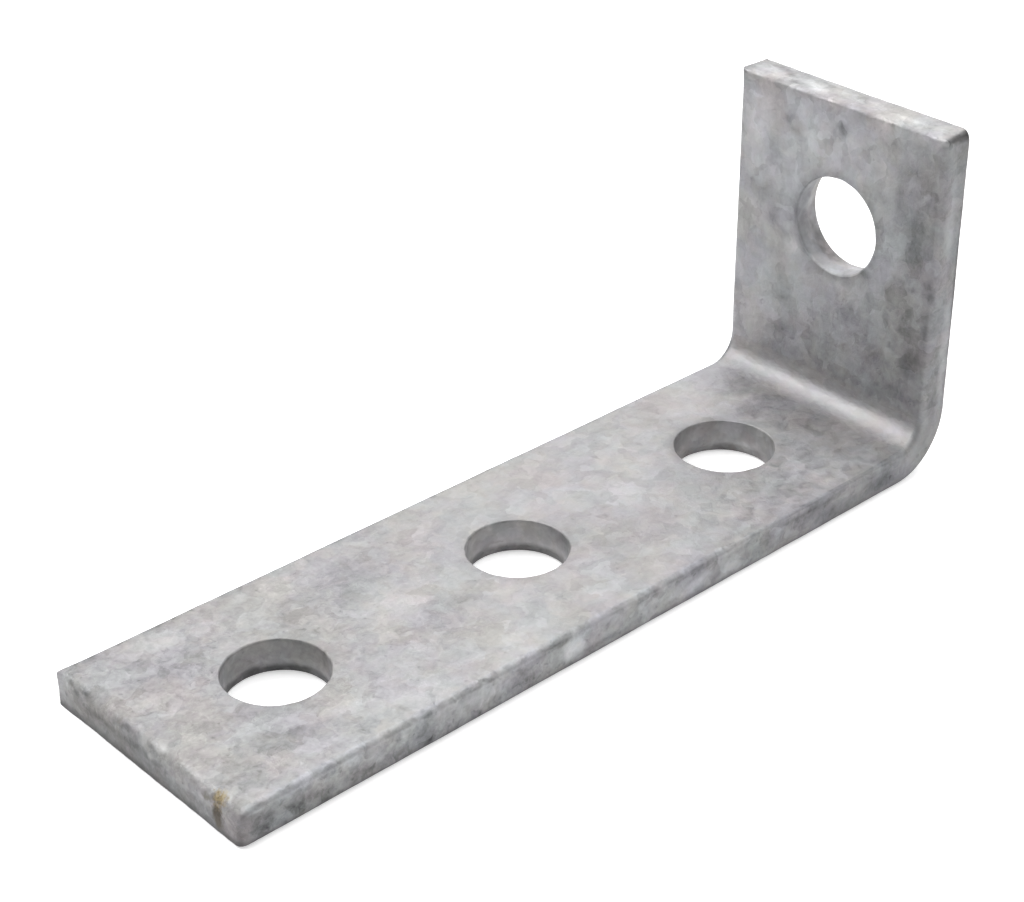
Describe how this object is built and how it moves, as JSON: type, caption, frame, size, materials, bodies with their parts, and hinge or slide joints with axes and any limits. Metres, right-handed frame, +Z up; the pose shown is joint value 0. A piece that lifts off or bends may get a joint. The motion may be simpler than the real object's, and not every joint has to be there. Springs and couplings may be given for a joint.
{
  "type": "angle bracket",
  "caption": "Heavy right-angle bracket folded from galvanised flat steel bar, with a row of bolt holes along its long leg and a bolt hole in its short leg.",
  "frame": {"origin": "middle of the footprint on the underside: half way along the long leg with the short leg's thickness included, half way across the bar", "axes": "+X along the long leg towards the short leg, +Y across the bar, +Z up along the short leg, away from the underside"},
  "size_m": [0.137, 0.0412, 0.057],
  "materials": {
    "galvanised_steel": "hot-dip galvanised, matt and cloudy, mottled light and mid grey"
  },
  "bodies": {
    "root": {"angle_bracket": "galvanised_steel"}
  },
  "joints": []
}
